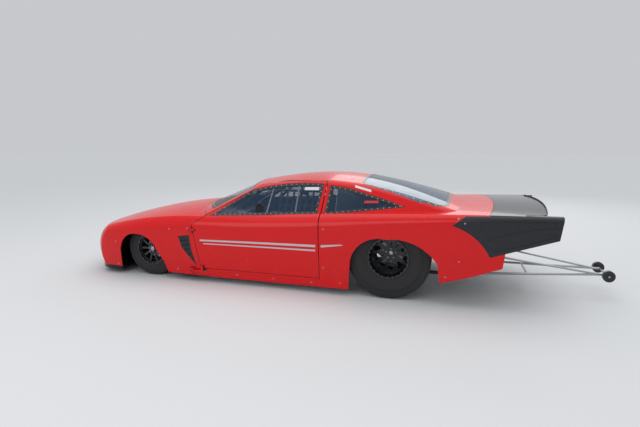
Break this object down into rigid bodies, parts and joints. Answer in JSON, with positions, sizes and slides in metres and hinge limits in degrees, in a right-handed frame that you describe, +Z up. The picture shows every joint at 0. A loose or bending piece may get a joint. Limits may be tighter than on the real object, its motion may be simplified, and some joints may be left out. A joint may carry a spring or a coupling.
{
  "type": "drag racing car",
  "caption": "Doorslammer drag racing car with a one-piece red coupe body, opening doors, steered front wheels, wide rear slicks and a wheelie bar.",
  "frame": {"origin": "on the ground under the middle of the whole car, nose to wheelie bar wheels", "axes": "+X forward, +Y to the car's left, +Z up"},
  "size_m": [6.2004, 1.9078, 1.265],
  "materials": {
    "body_red": "glossy clear-coated red",
    "clear_window": "clear plastic glazing with a blue cast",
    "gloss_black": "polished black composite",
    "moulded_black": "satin black moulded composite",
    "frame_black": "satin black paint on steel tube",
    "aluminium": "brushed sheet and machined castings",
    "wheel_black": "black anodised with bare edges",
    "tyre_rubber": "matt rubber",
    "bare_steel": "brushed steel",
    "pack_fabric": "woven nylon",
    "seat_fabric": "black woven cover",
    "grip_suede": "black suede grip"
  },
  "bodies": {
    "chassis": {"axle_housing": "frame_black", "body_shell": "body_red", "bulkheads": "aluminium", "chassis_frame": "frame_black", "deck_spoiler": "gloss_black", "driveline": "aluminium", "engine_block": "aluminium", "fender_vents": "moulded_black", "floor_pan": "aluminium", "front_clip": "body_red", "front_splitter": "gloss_black", "front_suspension": "frame_black", "parachutes": "pack_fabric", "quarter_window_left": "clear_window", "quarter_window_right": "clear_window", "rear_suspension": "frame_black", "rear_window": "clear_window", "roll_cage": "frame_black", "seat": "seat_fabric", "spill_plate_left": "moulded_black", "spill_plate_right": "moulded_black", "steering_column": "frame_black", "turbochargers": "aluminium", "wheelie_bar": "bare_steel", "windscreen": "clear_window"},
    "door_left": {"door_left": "body_red", "door_window_left": "clear_window"},
    "door_right": {"door_right": "body_red", "door_window_right": "clear_window"},
    "steering_wheel": {"steering_wheel": "grip_suede"},
    "steering_rack": {"steering_rack": "aluminium"},
    "knuckle_left": {"knuckle_left": "frame_black"},
    "knuckle_right": {"knuckle_right": "frame_black"},
    "front_wheel_left": {"front_wheel_left": "wheel_black", "front_tyre_left": "tyre_rubber", "front_brake_left": "bare_steel"},
    "front_wheel_right": {"front_wheel_right": "wheel_black", "front_tyre_right": "tyre_rubber", "front_brake_right": "bare_steel"},
    "rear_wheels": {"axle_shafts": "bare_steel", "rear_wheel_left": "wheel_black", "rear_wheel_right": "wheel_black", "rear_tyre_left": "tyre_rubber", "rear_tyre_right": "tyre_rubber"},
    "wheelie_wheels": {"wheelie_wheels": "wheel_black"}
  },
  "joints": [
    {"name": "door_left_hinge", "type": "hinge", "parent": "chassis", "child": "door_left", "pos_m": [1.4575, 0.937, 0.45], "axis": [0, 0, -1], "range_deg": [0, 60]},
    {"name": "door_right_hinge", "type": "hinge", "parent": "chassis", "child": "door_right", "pos_m": [1.4575, -0.937, 0.45], "axis": [0, 0, 1], "range_deg": [0, 60]},
    {"name": "steer_left", "type": "hinge", "parent": "chassis", "child": "knuckle_left", "pos_m": [2.1, 0.672, 0.33], "axis": [0, 0, 1], "range_deg": [-13, 13]},
    {"name": "steer_right", "type": "hinge", "parent": "chassis", "child": "knuckle_right", "pos_m": [2.1, -0.672, 0.33], "axis": [0, 0, 1], "range_deg": [-13, 13]},
    {"name": "rack_slide", "type": "slide", "parent": "chassis", "child": "steering_rack", "axis": [0, 1, 0], "range_m": [-0.03, 0.03]},
    {"name": "steering_wheel_turn", "type": "hinge", "parent": "chassis", "child": "steering_wheel", "pos_m": [0.7, 0.32, 0.7], "axis": [-0.9534, 0, 0.3017], "range_deg": [-104, 104]},
    {"name": "front_wheel_left_spin", "type": "hinge", "parent": "knuckle_left", "child": "front_wheel_left", "pos_m": [2.1, 0.77, 0.33], "axis": [0, 1, 0], "continuous": true},
    {"name": "front_wheel_right_spin", "type": "hinge", "parent": "knuckle_right", "child": "front_wheel_right", "pos_m": [2.1, -0.77, 0.33], "axis": [0, 1, 0], "continuous": true},
    {"name": "rear_wheels_spin", "type": "hinge", "parent": "chassis", "child": "rear_wheels", "pos_m": [-0.821, 0, 0.438], "axis": [0, 1, 0], "continuous": true},
    {"name": "wheelie_wheels_spin", "type": "hinge", "parent": "chassis", "child": "wheelie_wheels", "pos_m": [-3.04, 0, 0.24], "axis": [0, 1, 0], "continuous": true}
  ],
  "couplings": [
    {"joint": "steer_right", "follows": "steer_left", "ratio": 1},
    {"joint": "rack_slide", "follows": "steer_left", "m_per_rad": 0.13},
    {"joint": "steering_wheel_turn", "follows": "steer_left", "ratio": 8}
  ]
}
